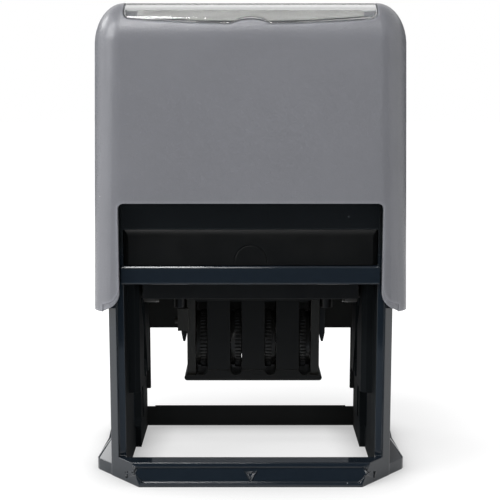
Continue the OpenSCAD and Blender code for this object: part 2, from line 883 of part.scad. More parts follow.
module loop_outline(o) {
    r1 = big_r(o);
    r2 = small_r(o);
    right_a = band_a + r1 * band_u;
    right_b = band_b + r2 * band_u;
    translate(band_a)
        circle(r = r1);
    for (s = [-1, 1])
        translate([s * nose_y, nose_z])
            circle(r = r2);
    polygon([right_a, right_b, [nose_y, nose_z + r2], [-nose_y, nose_z + r2],
        [-right_b[0], right_b[1]], [-right_a[0], right_a[1]]]);
}

// One raised character cell on the band
module type_cell(p, a) {
    translate(p)
        rotate(a)
            translate([-0.2, -1.25])
                square([type_h + 0.2, 2.5]);
}

module type_cells() {
    right_a = band_a + big_r(band_t) * band_u;
    right_b = band_b + small_r(band_t) * band_u;
    run = norm(right_b - right_a);
    along = (right_a - right_b) / run;
    type_cell([0, nose_z + small_r(band_t)], 90);
    for (i = [0 : 4]) {
        p = right_b + (1.5 + i * 4.1) * along;
        type_cell(p, band_n);
        type_cell([-p[0], p[1]], 180 - band_n);
    }
    for (i = [-1 : 1])
        type_cell(band_a + big_r(band_t) * [cos(-90 + 45 * i), sin(-90 + 45 * i)], -90 + 45 * i);
}

module date_band(a, b) {
    color([0.2, 0.2, 0.21])
    union() {
        x_extrude(unit_x + a, unit_x + b)
            difference() {
                loop_outline(band_t);
                loop_outline(0);
            }
        x_extrude(unit_x + a + 0.4, unit_x + b - 0.4)
            difference() {
                type_cells();
                loop_outline(0);
            }
    }
}

wide_a = outer_end + 0.2;
wide_b = 1.5 * disc_pitch - disc_t / 2 - 0.2;
slim_a = inner_end + 0.1;
slim_b = 0.5 * disc_pitch - disc_t / 2 - 0.2;

module month_band() {
    date_band(-wide_b, -wide_a);
}

module day_tens_band() {
    date_band(-slim_b, -slim_a);
}

module day_units_band() {
    date_band(slim_a, slim_b);
}

module year_band() {
    date_band(wide_a, wide_b);
}

base_frame();
ink_pad_tray();
ink_pad_felt();
cap_shell();
press_bracket();
index_card();
index_window();
return_spring_left();
return_spring_right();
swivel_frame();
die_plate();
die_foam();
text_rubber();
band_bridge();
left_cheek();
right_cheek();
wheel_axle();
finger_guard();
detent_spring();
month_wheel();
day_tens_wheel();
day_units_wheel();
year_wheel();
month_band();
day_tens_band();
day_units_band();
year_band();
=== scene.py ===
# Self-inking date stamp: finishes, soft pieces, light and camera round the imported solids.
import math

import bmesh
import bpy
from mathutils import Matrix, Vector
from mathutils.bvhtree import BVHTree


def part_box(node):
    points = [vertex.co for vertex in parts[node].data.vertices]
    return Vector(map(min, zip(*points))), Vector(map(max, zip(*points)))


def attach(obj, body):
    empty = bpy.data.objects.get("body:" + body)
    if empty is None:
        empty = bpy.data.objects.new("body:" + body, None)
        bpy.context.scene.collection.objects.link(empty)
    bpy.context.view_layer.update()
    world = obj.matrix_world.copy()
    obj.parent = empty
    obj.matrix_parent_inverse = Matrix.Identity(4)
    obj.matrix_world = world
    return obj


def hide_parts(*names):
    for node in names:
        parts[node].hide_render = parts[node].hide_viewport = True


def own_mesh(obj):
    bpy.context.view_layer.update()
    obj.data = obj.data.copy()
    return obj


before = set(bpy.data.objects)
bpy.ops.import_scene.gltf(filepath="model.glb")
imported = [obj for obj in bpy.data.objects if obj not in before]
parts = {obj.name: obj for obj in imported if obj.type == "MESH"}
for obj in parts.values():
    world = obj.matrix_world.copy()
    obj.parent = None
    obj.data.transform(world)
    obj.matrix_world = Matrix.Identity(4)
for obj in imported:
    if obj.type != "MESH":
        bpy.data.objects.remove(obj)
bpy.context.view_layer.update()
mm = 0.001
print("frame loaded:", len(parts), "nodes")


# colours are written as they look on screen, 0 to 255
def paint(red, green, blue):
    channels = []
    for level in (red, green, blue):
        share = level / 255
        channels.append(share / 12.92 if share <= 0.04045 else ((share + 0.055) / 1.055) ** 2.4)
    return (*channels, 1.0)


def shaded(colour, factor):
    return (*[min(1.0, channel * factor) for channel in colour[:3]], 1.0)


# shader building blocks
def bareTree(owner):
    owner.use_nodes = True
    owner.node_tree.nodes.clear()
    return owner.node_tree


def addNode(tree, kind, inputs=None, **settings):
    made = tree.nodes.new(kind)
    for key, value in settings.items():
        setattr(made, key, value)
    for key, value in (inputs or {}).items():
        if isinstance(value, bpy.types.NodeSocket):
            tree.links.new(value, made.inputs[key])
        else:
            made.inputs[key].default_value = value
    return made


def startMaterial(name, sockets):
    material = bpy.data.materials.new(name)
    tree = bareTree(material)
    shader = addNode(tree, "ShaderNodeBsdfPrincipled")
    for key, value in sockets.items():
        shader.inputs[key].default_value = value
    addNode(tree, "ShaderNodeOutputMaterial", {"Surface": shader.outputs[0]})
    where = addNode(tree, "ShaderNodeTexCoord").outputs["Object"]
    return material, tree, shader, where


def linkFinish(tree, shader, colour, roughness, normal):
    for socket, value in (("Base Color", colour), ("Roughness", roughness), ("Normal", normal)):
        tree.links.new(value, shader.inputs[socket])


def stretched(tree, where, scale):
    return addNode(tree, "ShaderNodeMapping", {"Vector": where, "Scale": scale}).outputs[0]


def noiseOf(tree, where, size, detail=2.0):
    made = addNode(tree, "ShaderNodeTexNoise", {"Vector": where, "Scale": 1 / size, "Detail": detail})
    return made.outputs["Fac"]


def cellsOf(tree, where, size):
    return addNode(tree, "ShaderNodeTexVoronoi", {"Vector": where, "Scale": 1 / size}).outputs


def remap(tree, value, low, high, fromLow=0.3, fromHigh=0.7):
    limits = {"Value": value, "From Min": fromLow, "From Max": fromHigh, "To Min": low, "To Max": high}
    return addNode(tree, "ShaderNodeMapRange", limits).outputs["Result"]


def maths(tree, operation, first, second):
    return addNode(tree, "ShaderNodeMath", {0: first, 1: second}, operation=operation).outputs[0]


def vectorMaths(tree, operation, inputs):
    return addNode(tree, "ShaderNodeVectorMath", inputs, operation=operation).outputs


def axesOf(tree, where):
    return addNode(tree, "ShaderNodeSeparateXYZ", {"Vector": where}).outputs


def mixColours(tree, factor, first, second):
    made = addNode(tree, "ShaderNodeMix", {0: factor, 6: first, 7: second}, data_type="RGBA")
    return made.outputs[2]


def bumped(tree, height, depth, under=None):
    inputs = {"Height": height, "Distance": depth, "Strength": 1.0}
    if under is not None:
        inputs["Normal"] = under
    return addNode(tree, "ShaderNodeBump", inputs).outputs[0]


# tilts the normal by a chance amount in each small cell, as metal flakes in a moulding do
def flaked(tree, where, size, tilt, under):
    cells = cellsOf(tree, where, size)["Color"]
    chance = vectorMaths(tree, "SUBTRACT", {0: cells, 1: (0.5, 0.5, 0.5)})[0]
    turned = vectorMaths(tree, "SCALE", {0: chance, "Scale": tilt})[0]
    summed = vectorMaths(tree, "ADD", {0: turned, 1: under})[0]
    return vectorMaths(tree, "NORMALIZE", {0: summed})[0]


# how alike the rounded and the true normal are, from a worn edge to a flat
plainTurn = (0.8, 0.99)


# 1 on sharp edges, 0 on flats
def edgeMask(tree, width, turned=plainTurn):
    rounded = addNode(tree, "ShaderNodeBevel", {"Radius": width}, samples=4).outputs[0]
    true = addNode(tree, "ShaderNodeNewGeometry").outputs["Normal"]
    alike = vectorMaths(tree, "DOT_PRODUCT", {0: rounded, 1: true})["Value"]
    return remap(tree, alike, 1.0, 0.0, *turned)


# scattered grains, in a share of the cells only
def grainMask(tree, where, spacing, size, share):
    cells = cellsOf(tree, where, spacing)
    near = maths(tree, "LESS_THAN", cells["Distance"], size / spacing)
    split = addNode(tree, "ShaderNodeSeparateColor", {"Color": cells["Color"]})
    return maths(tree, "MULTIPLY", near, maths(tree, "LESS_THAN", split.outputs[0], share))


# 1 on the faces inside a moulding: within half a width, and half a depth that changes at one height
def insideMask(tree, where, look):
    axes = axesOf(tree, where)
    depth = remap(tree, axes["Z"], *look["halfY"], *look["change"])
    acrossX = maths(tree, "LESS_THAN", maths(tree, "ABSOLUTE", axes["X"], 0.0), look["halfX"])
    acrossY = maths(tree, "LESS_THAN", maths(tree, "ABSOLUTE", axes["Y"], 0.0), depth)
    return maths(tree, "MULTIPLY", acrossX, acrossY)


# a bluer lower half on the outside, a painted bluish reflection, and a paler rear on the inside, painted
# light on the rear wall
def zoneTones(tree, where, body, inside, outside, look):
    axes = axesOf(tree, where)
    bluishSheen = maths(tree, "MULTIPLY", remap(tree, axes["Z"], 1.0, 0.0, *look["bluishSheenHeight"]), outside)
    body = mixColours(tree, bluishSheen, body, look["bluishSheenColour"])
    # painted light: the rear inside is made paler
    deep = maths(tree, "MULTIPLY", remap(tree, axes["Y"], 0.0, 1.0, *look["deep"]), inside)
    rear = mixColours(tree, remap(tree, axes["Z"], 0.0, 1.0, *look["paintedLightRearHeight"]), *look["paintedLightRearColours"])
    return mixColours(tree, deep, body, rear)


# plastic for all the mouldings, with lighter edges that are partly wear and partly a painted highlight;
# polish with its painted tones, flecks with painted glints, dust, waves and flakes only where a look has
# them
def mouldedPlastic(name, look):
    material, tree, shader, where = startMaterial(name, {"IOR": 1.5, "Specular IOR Level": look["specular"]})
    colour = look["colour"]
    tone = remap(tree, noiseOf(tree, where, look["toneSize"], detail=4.0), 0.0, 1.0)
    spread = look["toneSpread"]
    body = mixColours(tree, tone, shaded(colour, 1 - spread), shaded(colour, 1 + spread))
    if "polish" in look:
        inside = insideMask(tree, where, look["polish"])
        outside = maths(tree, "SUBTRACT", 1.0, inside)
        body = zoneTones(tree, where, body, inside, outside, look)
    # edges get a lighter copy of the colour: partly wear, partly a painted highlight on edges that catch the
    # light
    edges = edgeMask(tree, look["edgeWearAndHighlightWidth"], look.get("edgeWearAndHighlightTurn", plainTurn))
    wornAndHighlighted = maths(tree, "MULTIPLY", edges, look["edgeWearAndHighlight"])
    body = mixColours(tree, wornAndHighlighted, body, shaded(colour, look["edgeWearAndHighlightTint"]))
    roughness = remap(tree, noiseOf(tree, where, look["smudgeSize"], detail=3.0), *look["rough"])
    if "fleckShare" in look:
        fleck = grainMask(tree, where, look["fleckSpacing"], look["fleckSize"], look["fleckShare"])
        # brighter specks: partly the moulding's own specks, partly painted glints standing for sparkle
        body = mixColours(tree, fleck, body, shaded(colour, look["speckAndGlintTint"]))
        shine = remap(tree, fleck, 1.0, look["fleckShine"], 0.0, 1.0)
        roughness = maths(tree, "MULTIPLY", roughness, shine)
    if "dustShare" in look:
        dust = grainMask(tree, where, look["dustSpacing"], look["dustSize"], look["dustShare"])
        body = mixColours(tree, dust, body, look["dustColour"])
    soft = addNode(tree, "ShaderNodeBevel", {"Radius": look.get("soft", look["edge"])}, samples=8).outputs[0]
    normal = bumped(tree, noiseOf(tree, where, look["grainSize"]), look["grainDepth"], soft)
    if "waveSize" in look:
        normal = bumped(tree, noiseOf(tree, where, look["waveSize"], detail=1.0), look["waveDepth"], normal)
    if "flakeSize" in look:
        normal = flaked(tree, where, look["flakeSize"], look["flakeTilt"], normal)
    linkFinish(tree, shader, body, roughness, normal)
    if "polish" in look:
        tree.links.new(outside, shader.inputs["Coat Weight"])
        tree.links.new(normal, shader.inputs["Coat Normal"])
        shader.inputs["Coat Roughness"].default_value = look["polish"]["rough"]
        shader.inputs["Coat IOR"].default_value = look["polish"]["ior"]
    return material


# Edges of every moulding: corners sharper than the angle are rounded
edgeLook = {"weld": 0.004 * mm, "angle": math.radians(35), "weight": 80}


def roundEdges(piece, edge, segments=2):
    rounding = piece.modifiers.new("rounding", "BEVEL")
    rounding.width = edge
    rounding.segments = segments
    rounding.limit_method = "ANGLE"
    rounding.angle_limit = edgeLook["angle"]
    rounding.use_clamp_overlap = True


def evenShading(piece):
    even = piece.modifiers.new("even", "WEIGHTED_NORMAL")
    even.keep_sharp = False
    even.weight = edgeLook["weight"]


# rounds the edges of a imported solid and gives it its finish
def dress(name, material, edge=0.0, segments=2):
    piece = parts[name]
    if not piece.material_slots:
        piece.data.materials.append(material)
    for place in piece.material_slots:
        place.link = "OBJECT"
        place.material = material
    joined = piece.modifiers.new("joined", "WELD")
    joined.merge_threshold = edgeLook["weld"]
    if edge:
        roundEdges(piece, edge, segments)
    evenShading(piece)


# Cap: satin grey with a fine sparkle grain, brighter specks that are partly painted glints, and lighter
# edges that are partly a painted highlight
capLook = {
    "edge": 0.5 * mm,
    "colour": paint(115, 116, 121),
    "toneSize": 22 * mm, "toneSpread": 0.03,
    "rough": (0.28, 0.34), "smudgeSize": 9 * mm, "specular": 0.6,
    "grainSize": 0.4 * mm, "grainDepth": 0.03 * mm, "flakeSize": 0.12 * mm, "flakeTilt": 0.14,
    # brighter specks: partly own specks, partly painted sparkle glints
    "fleckSpacing": 0.5 * mm, "fleckSize": 0.15 * mm, "fleckShare": 0.4, "speckAndGlintTint": 1.3, "fleckShine": 0.6,
    # lighter cut-out edges: partly wear, partly a painted highlight along the rounded rim
    "edgeWearAndHighlightWidth": 1.6 * mm, "edgeWearAndHighlightTurn": (0.86, 0.998), "edgeWearAndHighlight": 0.75, "edgeWearAndHighlightTint": 1.6,
    "dustSpacing": 5 * mm, "dustSize": 0.12 * mm, "dustShare": 0.25, "dustColour": paint(190, 190, 188),
}
capPlastic = mouldedPlastic("satinGreyPlastic", capLook)
dress("cap_shell", capPlastic, capLook["edge"])
print("cap dressed")

# Foot frame: navy-black moulding, polished and slightly wavy outside, dull inside
frameLook = {
    "edge": 0.25 * mm, "soft": 0.5 * mm,
    # the lower outside is painted bluer: a painted bluish reflection
    "colour": paint(19, 22, 24), "bluishSheenColour": paint(21, 29, 37), "bluishSheenHeight": (58 * mm, 64 * mm),
    # the rear inside is painted paler: painted light on the rear inside walls
    "paintedLightRearColours": (paint(35, 36, 36), paint(57, 58, 57)),
    "deep": (10 * mm, 16 * mm), "paintedLightRearHeight": (30 * mm, 45 * mm),
    "toneSize": 30 * mm, "toneSpread": 0.08,
    "rough": (0.8, 0.95), "smudgeSize": 14 * mm, "specular": 0.06,
    "polish": {
        "halfX": 34.2 * mm, "halfY": (23.35 * mm, 22.3 * mm), "change": (52 * mm, 54 * mm),
        "rough": 0.07, "ior": 1.48,
    },
    "grainSize": 0.8 * mm, "grainDepth": 0.001 * mm,
    "waveSize": 7 * mm, "waveDepth": 0.008 * mm,
    "edgeWearAndHighlightWidth": 0.35 * mm, "edgeWearAndHighlight": 0.5, "edgeWearAndHighlightTint": 3.0,
    "dustSpacing": 6 * mm, "dustSize": 0.16 * mm, "dustShare": 0.3, "dustColour": paint(170, 175, 180),
}
dress("base_frame", mouldedPlastic("navyPolishedPlastic", frameLook), frameLook["edge"])
print("foot frame dressed")

# Ink pad drawer: black with a soft matt grain
drawerLook = {
    "edge": 0.2 * mm,
    "colour": paint(7, 8, 8),
    "toneSize": 15 * mm, "toneSpread": 0.1,
    "rough": (0.42, 0.54), "smudgeSize": 8 * mm, "specular": 0.3,
    "grainSize": 0.4 * mm, "grainDepth": 0.008 * mm,
    "edgeWearAndHighlightWidth": 0.3 * mm, "edgeWearAndHighlight": 0.5, "edgeWearAndHighlightTint": 3.0,
    "dustSpacing": 6 * mm, "dustSize": 0.12 * mm, "dustShare": 0.25, "dustColour": paint(120, 120, 118),
}
dress("ink_pad_tray", mouldedPlastic("mattBlackPlastic", drawerLook), drawerLook["edge"])
print("drawer dressed")

# Band bridge: plain semi-matt black, which the unit's other mouldings start from
unitLook = {
    "edge": 0.18 * mm,
    "colour": paint(14, 14, 12),
    "toneSize": 12 * mm, "toneSpread": 0.12,
    "rough": (0.3, 0.45), "smudgeSize": 6 * mm, "specular": 0.4,
    "grainSize": 0.35 * mm, "grainDepth": 0.006 * mm,
    "edgeWearAndHighlightWidth": 0.25 * mm, "edgeWearAndHighlight": 0.5, "edgeWearAndHighlightTint": 3.2,
}
dress("band_bridge", mouldedPlastic("blackUnitPlastic", unitLook), unitLook["edge"])

# Cheeks: the same black, paler
cheekLook = dict(unitLook, colour=paint(30, 29, 25))
cheekPlastic = mouldedPlastic("palerCheekPlastic", cheekLook)
for name in ("left_cheek", "right_cheek"):
    dress(name, cheekPlastic, cheekLook["edge"])

# Swivel frame: the same black, lighter along its edges
holderLook = dict(unitLook, colour=paint(10, 10, 9), edgeWearAndHighlightWidth=0.4 * mm, edgeWearAndHighlight=0.8, edgeWearAndHighlightTint=8.0)
dress("swivel_frame", mouldedPlastic("paleEdgedHolderPlastic", holderLook), holderLook["edge"])

# Finger guard: the same black with less shine
guardLook = dict(
    unitLook, colour=paint(11, 11, 9), rough=(0.36, 0.46), specular=0.26, edgeWearAndHighlightTint=6.0, edge=0.15 * mm)
dress("finger_guard", mouldedPlastic("mattGuardPlastic", guardLook), guardLook["edge"])

# Date wheels: black, rubbed a little on the serrations
wheelLook = dict(
    unitLook, colour=paint(20, 20, 19), rough=(0.3, 0.42), edge=0.08 * mm,
    edgeWearAndHighlight=0.15, edgeWearAndHighlightTint=2.0, edgeWearAndHighlightWidth=0.2 * mm)
wheelPlastic = mouldedPlastic("rubbedWheelPlastic", wheelLook)
for name in ("month_wheel", "day_tens_wheel", "day_units_wheel", "year_wheel"):
    dress(name, wheelPlastic, wheelLook["edge"], segments=1)

# Text plate: light grey moulding
plateLook = dict(
    unitLook, colour=paint(150, 152, 155), toneSpread=0.04, edgeWearAndHighlight=0.3, edgeWearAndHighlightTint=1.4, edge=0.12 * mm)
dress("die_plate", mouldedPlastic("paleGreyPlastic", plateLook), plateLook["edge"])
print("print unit dressed")

# Press bracket: black paint on sheet steel
bracketLook = {
    "edge": 0.15 * mm,
    "colour": paint(20, 20, 21), "chip": paint(120, 120, 122),
    "chipWidth": 0.2 * mm, "chipSize": 2 * mm, "chipCut": (0.55, 0.65),
    "rough": (0.3, 0.45), "smudgeSize": 5 * mm,
    "grainSize": 0.9 * mm, "grainDepth": 0.01 * mm,
    "coat": 0.3, "coatRough": 0.2,
}


def paintedSteel(name, look):
    coat = {"Coat Weight": look["coat"], "Coat Roughness": look["coatRough"]}
    material, tree, shader, where = startMaterial(name, coat)
    patches = remap(tree, noiseOf(tree, where, look["chipSize"], detail=5.0), 0.0, 1.0, *look["chipCut"])
    chips = maths(tree, "MULTIPLY", edgeMask(tree, look["chipWidth"]), patches)
    body = mixColours(tree, chips, look["colour"], look["chip"])
    roughness = remap(tree, noiseOf(tree, where, look["smudgeSize"]), *look["rough"])
    normal = bumped(tree, noiseOf(tree, where, look["grainSize"]), look["grainDepth"])
    linkFinish(tree, shader, body, roughness, normal)
    return material


dress("press_bracket", paintedSteel("blackPaintedSteel", bracketLook), bracketLook["edge"])

# Wire and axle: drawn bright steel
wireLook = {
    "axleEdge": 0.1 * mm,
    "colour": paint(196, 196, 200), "dull": paint(140, 141, 146),
    "drawSize": 0.25 * mm, "drawStretch": (0.08, 1.0, 1.0), "drawDepth": 0.004 * mm,
    "rough": (0.18, 0.34), "smudgeSize": 3 * mm,
}


def drawnSteel(name, look):
    material, tree, shader, where = startMaterial(name, {"Metallic": 1.0})
    draw = noiseOf(tree, stretched(tree, where, look["drawStretch"]), look["drawSize"], detail=3.0)
    body = mixColours(tree, remap(tree, draw, 0.0, 1.0), look["dull"], look["colour"])
    roughness = remap(tree, noiseOf(tree, where, look["smudgeSize"]), *look["rough"])
    linkFinish(tree, shader, body, roughness, bumped(tree, draw, look["drawDepth"]))
    return material


springSteel = drawnSteel("drawnSpringSteel", wireLook)
dress("wheel_axle", springSteel, wireLook["axleEdge"])
dress("detent_spring", springSteel)
print("metal dressed")

# Index window: clear moulding with a slight haze
windowLook = {
    "edge": 0.3 * mm,
    "colour": paint(248, 249, 249), "hazeTint": 0.97, "ior": 1.37,
    "hazeSize": 6 * mm, "rough": (0.02, 0.09),
    "waveSize": 9 * mm, "waveDepth": 0.01 * mm,
}


def clearPlastic(name, look):
    material, tree, shader, where = startMaterial(name, {"IOR": look["ior"], "Transmission Weight": 1.0})
    haze = noiseOf(tree, where, look["hazeSize"], detail=4.0)
    hazy = shaded(look["colour"], look["hazeTint"])
    body = mixColours(tree, remap(tree, haze, 0.0, 1.0), look["colour"], hazy)
    normal = bumped(tree, noiseOf(tree, where, look["waveSize"]), look["waveDepth"])
    linkFinish(tree, shader, body, remap(tree, haze, *look["rough"]), normal)
    return material


dress("index_window", clearPlastic("clearWindowPlastic", windowLook), windowLook["edge"])

# Index card: the bare paper strip under the window
cardLook = {
    "colour": paint(184, 183, 181), "fibre": paint(170, 169, 166),
    "fibreSize": 0.35 * mm, "fibreStretch": (1.0, 0.35, 1.0),
    "fibreTone": (0.2, 1.0), "fibreDepth": 0.01 * mm,
    "cloudSize": 7 * mm, "cloudTone": (0.5, 1.0),
    "rough": (0.75, 0.9), "specular": 0.25,
}


def uncoatedCard(name, look):
    material, tree, shader, where = startMaterial(name, {"Specular IOR Level": look["specular"]})
    fibres = noiseOf(tree, stretched(tree, where, look["fibreStretch"]), look["fibreSize"], detail=5.0)
    cloud = noiseOf(tree, where, look["cloudSize"], detail=3.0)
    streaks = remap(tree, fibres, *look["fibreTone"])
    tone = maths(tree, "MULTIPLY", streaks, remap(tree, cloud, *look["cloudTone"]))
    body = mixColours(tree, tone, look["fibre"], look["colour"])
    roughness = remap(tree, cloud, *look["rough"])
    linkFinish(tree, shader, body, roughness, bumped(tree, fibres, look["fibreDepth"]))
    return material


dress("index_card", uncoatedCard("uncoatedCard", cardLook))
print("window dressed")

# Rubber: the text die and the date bands, stained with ink
rubberLook = {
    "edge": 0.06 * mm,
    "stainSize": 2.5 * mm, "rubWidth": 0.15 * mm,
    "rough": (0.45, 0.7), "specular": 0.3,
    "grainSize": 0.3 * mm, "grainDepth": 0.012 * mm,
}
dieLook = dict(rubberLook, colour=paint(96, 44, 40), ink=paint(34, 22, 30))
bandLook = dict(rubberLook, colour=paint(58, 58, 60), ink=paint(30, 30, 38))


def inkedRubber(name, look):
    material, tree, shader, where = startMaterial(name, {"Specular IOR Level": look["specular"]})
    stain = remap(tree, noiseOf(tree, where, look["stainSize"], detail=5.0), 0.0, 1.0)
    rubbed = maths(tree, "MAXIMUM", stain, edgeMask(tree, look["rubWidth"]))
    body = mixColours(tree, rubbed, look["ink"], look["colour"])
    roughness = remap(tree, stain, *look["rough"], 0.0, 1.0)
    normal = bumped(tree, noiseOf(tree, where, look["grainSize"], detail=3.0), look["grainDepth"])
    linkFinish(tree, shader, body, roughness, normal)
    return material


dress("text_rubber", inkedRubber("inkedDieRubber", dieLook), dieLook["edge"], segments=1)
bandRubber = inkedRubber("inkedBandRubber", bandLook)
for name in ("month_band", "day_tens_band", "day_units_band", "year_band"):
    dress(name, bandRubber, bandLook["edge"], segments=1)
print("rubber dressed")


# new pieces
def meshPiece(name, mesh, material, body):
    piece = bpy.data.objects.new(name, mesh)
    bpy.context.scene.collection.objects.link(piece)
    piece.data.materials.append(material)
    for face in piece.data.polygons:
        face.use_smooth = True
    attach(piece, body)
    return piece


# joins rows of points into one closed skin: the ends are capped, or meet again in a ring
def skinMesh(name, rows, ring=False):
    shape = bmesh.new()
    loops = [[shape.verts.new(point) for point in row] for row in rows]
    if ring:
        loops.append(loops[0])
    for first, second in zip(loops, loops[1:]):
        for index in range(len(first)):
            after = (index + 1) % len(first)
            shape.faces.new((first[index], first[after], second[after], second[index]))
    if not ring:
        shape.faces.new(list(reversed(loops[0])))
        shape.faces.new(loops[-1])
    bmesh.ops.recalc_face_normals(shape, faces=shape.faces)
    mesh = bpy.data.meshes.new(name)
    shape.to_mesh(mesh)
    shape.free()
    return mesh


# Ear tips: the rounded ends of the cap's four ears, a little under the cap's own face
earLook = {
    "inner": 34.5 * mm, "radius": 4.5 * mm, "rise": 6.5 * mm, "steps": 14,
    "drop": 1.35 * mm, "tail": 0.6 * mm, "tailSteepness": 4, "deep": 1.7 * mm,
    "lap": 0.2 * mm, "inset": 0.02 * mm, "sunk": 0.012 * mm, "edge": 0.25 * mm,
    "probeFrom": 50 * mm, "probeAbove": 0.5 * mm,
}


def surfaceOf(name):
    piece = parts[name]
    points = [piece.matrix_world @ vertex.co for vertex in piece.data.vertices]
    return BVHTree.FromPolygons(points, [tuple(face.vertices) for face in piece.data.polygons])


def earTip(name, surface, low, aside, facing, look):
    columns = []
    top = low + look["rise"]
    for step in range(look["steps"] + 1):
        turn = math.pi / 2 * step / look["steps"]
        beyond = look["lap"] if step == look["steps"] else look["inset"]
        across = look["inner"] + look["radius"] * (1 - math.cos(turn)) + beyond
        arc = top - look["radius"] * math.sin(turn)
        begin = Vector((aside * across, facing * look["probeFrom"], top + look["probeAbove"]))
        front = surface.ray_cast(begin, Vector((0.0, -facing, 0.0)))[0].y - facing * look["sunk"]
        back = front - facing * look["deep"]
        outer = max(0.0, 1 - (1 - step / look["steps"]) * look["tailSteepness"])
        under = arc - look["drop"] - look["tail"] * outer ** 2
        over = arc + look["lap"]
        corners = ((front, over), (front, under), (back, under), (back, over))
        columns.append([(aside * across, deep, up) for deep, up in corners])
    piece = meshPiece(name, skinMesh(name, columns), capPlastic, "cap")
    roundEdges(piece, look["edge"])
    evenShading(piece)


capSurface = surfaceOf("cap_shell")
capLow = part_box("cap_shell")[0].z
for aside, sideName in ((-1, "left"), (1, "right")):
    for facing, faceName in ((-1, "front"), (1, "rear")):
        earTip("ear_tip_" + faceName + "_" + sideName, capSurface, capLow, aside, facing, earLook)
print("ear tips rounded")

# Figures on the band faces that print: mirrored, so that they read on paper
figureLook = {"size": 3.105 * mm, "relief": 0.12 * mm, "root": 0.25 * mm, "curveSteps": 4}
figures = {"month_band": "11", "day_tens_band": "2", "day_units_band": "7", "year_band": "26"}


def raisedFigures(band, words, look):
    low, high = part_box(band)
    text = bpy.data.curves.new(band + "Figures", "FONT")
    text.body = words
    text.size = look["size"]
    text.align_x = "CENTER"
    text.align_y = "CENTER"
    text.extrude = (look["relief"] + look["root"]) / 2
    text.resolution_u = look["curveSteps"]
    shape = bpy.data.objects.new(band + "FiguresText", text)
    bpy.context.scene.collection.objects.link(shape)
    bpy.context.view_layer.update()
    mesh = bpy.data.meshes.new_from_object(shape.evaluated_get(bpy.context.evaluated_depsgraph_get()))
    bpy.data.objects.remove(shape)
    middle = Vector(((low.x + high.x) / 2, 0.0, high.z + (look["relief"] - look["root"]) / 2))
    mesh.transform(Matrix.Translation(middle) @ Matrix.Diagonal((1.0, -1.0, 1.0, 1.0)))
    mesh.flip_normals()
    meshPiece(band + "_figures", mesh, bandRubber, "print_unit")


for band, words in figures.items():
    raisedFigures(band, words, figureLook)
print("figures raised")

# Pads: rounded slabs with a swell at mid height, with or without a window
padLook = {"levels": 6, "cornerSteps": 6, "roll": 2.2}


def roundedRim(halfX, halfY, radius):
    points = []
    for turn, (signX, signY) in enumerate(((1, 1), (-1, 1), (-1, -1), (1, -1))):
        for step in range(padLook["cornerSteps"] + 1):
            angle = math.radians(90 * (turn + step / padLook["cornerSteps"]))
            points.append((signX * (halfX - radius) + radius * math.cos(angle),
                           signY * (halfY - radius) + radius * math.sin(angle)))
    return points


def slabMesh(name, outer, inner, low, high, look, aside):
    stations = []
    for level in range(padLook["levels"] + 1):
        share = level / padLook["levels"]
        bulge = math.sin(math.pi * share)
        drawnIn = look["corner"] * (1 - min(1.0, bulge * padLook["roll"]))
        stations.append((low + (high - low) * share, look["swell"] * bulge - drawnIn))
    rows = []
    for height, grow in stations:
        rim = roundedRim(outer[0] + grow, outer[1] + grow, look["corner"] * 2 + grow)
        rows.append([(x, y, height) for x, y in rim])
    if inner:
        for height, grow in reversed(stations):
            rim = roundedRim(inner[0] - grow, inner[1] - grow, look["corner"])
            rows.append([(x + aside, y, height) for x, y in rim])
    return skinMesh(name, rows, ring=bool(inner))


def padOf(name, node, material, body, look, inner=None, aside=0.0):
    low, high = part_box(node)
    middle = (high.y + low.y) / 2
    outer = (high.x - look["swell"], high.y - middle - look["swell"])
    mesh = slabMesh(name, outer, inner, low.z, high.z, look, aside)
    mesh.transform(Matrix.Translation((0.0, middle, 0.0)))
    piece = meshPiece(name, mesh, material, body)
    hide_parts(node)


# Ink felt: fibrous block, face down in the drawer
feltLook = {
    "colour": paint(26, 26, 44), "wet": paint(10, 10, 20),
    "corner": 0.5 * mm, "swell": 0.0, "fill": 0.9,
    "fibreSize": 0.3 * mm, "fibreStretch": 0.15, "fibreTone": (0.2, 1.0), "fibreDepth": 0.12 * mm,
    "soakSize": 8 * mm, "rough": (0.55, 0.9), "specular": 0.3, "sheen": 0.25, "sheenRough": 0.5,
}


def inkFelt(name, look):
    fuzz = {"Sheen Weight": look["sheen"], "Sheen Roughness": look["sheenRough"]}
    material, tree, shader, where = startMaterial(name, {"Specular IOR Level": look["specular"], **fuzz})
    stretch = look["fibreStretch"]
    along, across = [
        noiseOf(tree, stretched(tree, where, scale), look["fibreSize"], detail=4.0)
        for scale in ((stretch, 1.0, 1.0), (1.0, stretch, 1.0))]
    fibres = maths(tree, "MAXIMUM", along, across)
    soaked = remap(tree, noiseOf(tree, where, look["soakSize"], detail=4.0), 0.0, 1.0)
    tone = maths(tree, "MULTIPLY", remap(tree, fibres, *look["fibreTone"]), soaked)
    body = mixColours(tree, tone, look["wet"], look["colour"])
    roughness = remap(tree, soaked, *look["rough"], 0.0, 1.0)
    linkFinish(tree, shader, body, roughness, bumped(tree, fibres, look["fibreDepth"]))
    return material


padOf("ink_felt", "ink_pad_felt", inkFelt("inkedFelt", feltLook), "ink_pad", feltLook)

# Die cushion: pale foam between the plate and the rubber, open round the bridge
foamLook = {
    "colour": paint(214, 212, 200), "pore": paint(176, 172, 158),
    "corner": 0.15 * mm, "swell": 0.08 * mm, "fill": 0.8,
    "poreSize": 0.35 * mm, "poreCut": (0.1, 0.5), "poreDepth": 0.05 * mm,
    "rough": (0.8, 0.95), "smudgeSize": 4 * mm, "specular": 0.2,
    "bridgeGap": 0.15 * mm, "windowHalfY": 5.6 * mm,
}


